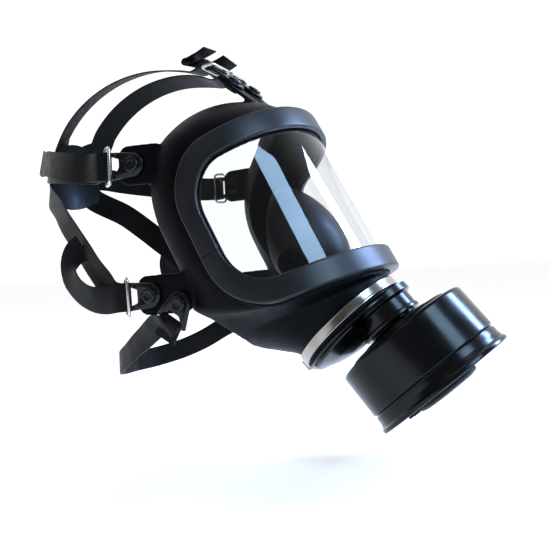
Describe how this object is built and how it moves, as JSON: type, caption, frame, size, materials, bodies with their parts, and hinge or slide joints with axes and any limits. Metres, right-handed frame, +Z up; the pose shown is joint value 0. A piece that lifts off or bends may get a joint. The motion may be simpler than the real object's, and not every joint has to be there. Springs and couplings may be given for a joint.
{
  "type": "full face respirator",
  "caption": "Full face respirator: rubber facepiece, wide curved visor in a split frame, chin port with a screw-in filter canister, and a buckled head harness with a neck strap",
  "frame": {"origin": "inside the face seal, on the visor's axis at its mid-height", "axes": "+Z up when worn upright, the visor faces -Y, +X is the wearer's left"},
  "size_m": [0.1906, 0.3947, 0.3038],
  "materials": {
    "face_rubber": "matt moulded rubber",
    "soft_rubber": "smooth soft rubber",
    "frame": "fine matt moulding",
    "lens": "clear polycarbonate, polished",
    "web": "ribbed elastic webbing with a slight sheen",
    "nickel": "bright nickel plate",
    "steel": "rolled stainless",
    "plastic": "satin moulding",
    "canister": "satin glass-filled moulding",
    "fibre": "pleated fibre",
    "charcoal": "packed granules"
  },
  "bodies": {
    "mask": {"clamp_band": "steel", "clamp_buckle": "steel", "cup_valve_seat_left": "plastic", "cup_valve_seat_right": "plastic", "exhale_cover": "plastic", "facepiece": "face_rubber", "head_pad": "web", "lower_strap_left": "web", "lower_strap_right": "web", "lower_stud_left": "plastic", "lower_stud_right": "plastic", "neck_strap": "web", "neck_stud_left": "plastic", "neck_stud_right": "plastic", "nose_cup": "soft_rubber", "port_housing": "plastic", "temple_strap_left": "web", "temple_strap_right": "web", "temple_stud_left": "plastic", "temple_stud_right": "plastic", "top_strap_left": "web", "top_strap_right": "web", "top_stud_left": "plastic", "top_stud_right": "plastic", "visor_frame_lower": "frame", "visor_frame_upper": "frame", "visor_lens": "lens"},
    "gasket": {"connector_gasket": "soft_rubber"},
    "canister": {"canister_body": "canister", "canister_lid": "canister", "outlet_screen": "steel", "charcoal_bed": "charcoal", "inlet_screen": "steel", "particle_filter": "fibre"},
    "plug": {"canister_plug": "soft_rubber"},
    "exhale_valve": {"exhale_valve_disc": "soft_rubber"},
    "inlet_valve": {"inlet_valve_disc": "soft_rubber"},
    "cup_valve_right": {"cup_valve_disc_right": "soft_rubber"},
    "cup_valve_left": {"cup_valve_disc_left": "soft_rubber"},
    "top_link_right": {"top_link_right": "plastic"},
    "top_ring_right": {"top_buckle_right": "nickel"},
    "top_link_left": {"top_link_left": "plastic"},
    "top_ring_left": {"top_buckle_left": "nickel"},
    "temple_link_right": {"temple_link_right": "plastic"},
    "temple_ring_right": {"temple_buckle_right": "nickel"},
    "temple_link_left": {"temple_link_left": "plastic"},
    "temple_ring_left": {"temple_buckle_left": "nickel"},
    "lower_link_right": {"lower_link_right": "plastic"},
    "lower_ring_right": {"lower_buckle_right": "nickel"},
    "lower_link_left": {"lower_link_left": "plastic"},
    "lower_ring_left": {"lower_buckle_left": "nickel"},
    "neck_link_right": {"neck_link_right": "plastic"},
    "neck_link_left": {"neck_link_left": "plastic"}
  },
  "joints": [
    {"name": "canister_advance", "type": "slide", "parent": "mask", "child": "gasket", "axis": [0, -0.6293, -0.7771], "range_m": [0, 0.0128]},
    {"name": "canister_turn", "type": "hinge", "parent": "gasket", "child": "canister", "pos_m": [0, -0.1159, -0.0713], "axis": [0, -0.6293, -0.7771], "range_deg": [0, 1260]},
    {"name": "plug_pull", "type": "slide", "parent": "canister", "child": "plug", "axis": [0, -0.6293, -0.7771], "range_m": [0, 0.012]},
    {"name": "exhale_valve_lift", "type": "slide", "parent": "mask", "child": "exhale_valve", "axis": [0, -0.6756, -0.7373], "range_m": [0, 0.002], "stiffness_N_per_m": 100, "springref_m": -0.001},
    {"name": "inlet_valve_lift", "type": "slide", "parent": "mask", "child": "inlet_valve", "axis": [0, 0.6756, 0.7373], "range_m": [0, 0.002], "stiffness_N_per_m": 100, "springref_m": -0.001},
    {"name": "cup_valve_lift_right", "type": "slide", "parent": "mask", "child": "cup_valve_right", "axis": [0.9259, -0.0105, 0.3776], "range_m": [0, 0.0015], "stiffness_N_per_m": 100, "springref_m": -0.001},
    {"name": "cup_valve_lift_left", "type": "slide", "parent": "mask", "child": "cup_valve_left", "axis": [-0.9259, -0.0105, 0.3776], "range_m": [0, 0.0015], "stiffness_N_per_m": 100, "springref_m": -0.001},
    {"name": "top_link_swing_right", "type": "hinge", "parent": "mask", "child": "top_link_right", "pos_m": [-0.017, 0.007, 0.1315], "axis": [0, -0.6392, 0.769], "range_deg": [-15, 15]},
    {"name": "top_ring_rock_right", "type": "hinge", "parent": "top_link_right", "child": "top_ring_right", "pos_m": [-0.017, 0.02213, 0.14615], "axis": [-1, 0, 0], "range_deg": [-10, 10]},
    {"name": "top_link_swing_left", "type": "hinge", "parent": "mask", "child": "top_link_left", "pos_m": [0.017, 0.007, 0.1315], "axis": [0, -0.6392, 0.769], "range_deg": [-15, 15]},
    {"name": "top_ring_rock_left", "type": "hinge", "parent": "top_link_left", "child": "top_ring_left", "pos_m": [0.017, 0.02213, 0.14615], "axis": [-1, 0, 0], "range_deg": [-10, 10]},
    {"name": "temple_link_swing_right", "type": "hinge", "parent": "mask", "child": "temple_link_right", "pos_m": [-0.08, 0.062, 0.0635], "axis": [-0.9854, -0.1701, 0], "range_deg": [-15, 15]},
    {"name": "temple_ring_rock_right", "type": "hinge", "parent": "temple_link_right", "child": "temple_ring_right", "pos_m": [-0.08515, 0.08242, 0.0635], "axis": [0, 0, -1], "range_deg": [-10, 10]},
    {"name": "temple_link_swing_left", "type": "hinge", "parent": "mask", "child": "temple_link_left", "pos_m": [0.08, 0.062, 0.0635], "axis": [0.9854, -0.1701, 0], "range_deg": [-15, 15]},
    {"name": "temple_ring_rock_left", "type": "hinge", "parent": "temple_link_left", "child": "temple_ring_left", "pos_m": [0.08515, 0.08242, 0.0635], "axis": [0, 0, 1], "range_deg": [-10, 10]},
    {"name": "lower_link_swing_right", "type": "hinge", "parent": "mask", "child": "lower_link_right", "pos_m": [-0.079, 0.05, -0.036], "axis": [-0.9998, -0.02, 0], "range_deg": [-15, 15]},
    {"name": "lower_ring_rock_right", "type": "hinge", "parent": "lower_link_right", "child": "lower_ring_right", "pos_m": [-0.08102, 0.07094, -0.03705], "axis": [0.001, -0.0499, -0.9988], "range_deg": [-10, 10]},
    {"name": "lower_link_swing_left", "type": "hinge", "parent": "mask", "child": "lower_link_left", "pos_m": [0.079, 0.05, -0.036], "axis": [0.9998, -0.02, 0], "range_deg": [-15, 15]},
    {"name": "lower_ring_rock_left", "type": "hinge", "parent": "lower_link_left", "child": "lower_ring_left", "pos_m": [0.08102, 0.07094, -0.03705], "axis": [0.001, 0.0499, 0.9988], "range_deg": [-10, 10]},
    {"name": "neck_link_swing_right", "type": "hinge", "parent": "mask", "child": "neck_link_right", "pos_m": [-0.0795, 0.024, -0.043], "axis": [-0.9998, -0.02, 0], "range_deg": [-15, 15]},
    {"name": "neck_link_swing_left", "type": "hinge", "parent": "mask", "child": "neck_link_left", "pos_m": [0.0795, 0.024, -0.043], "axis": [0.9998, -0.02, 0], "range_deg": [-15, 15]}
  ],
  "couplings": [
    {"joint": "canister_advance", "follows": "canister_turn", "m_per_rad": 0.00057773}
  ]
}
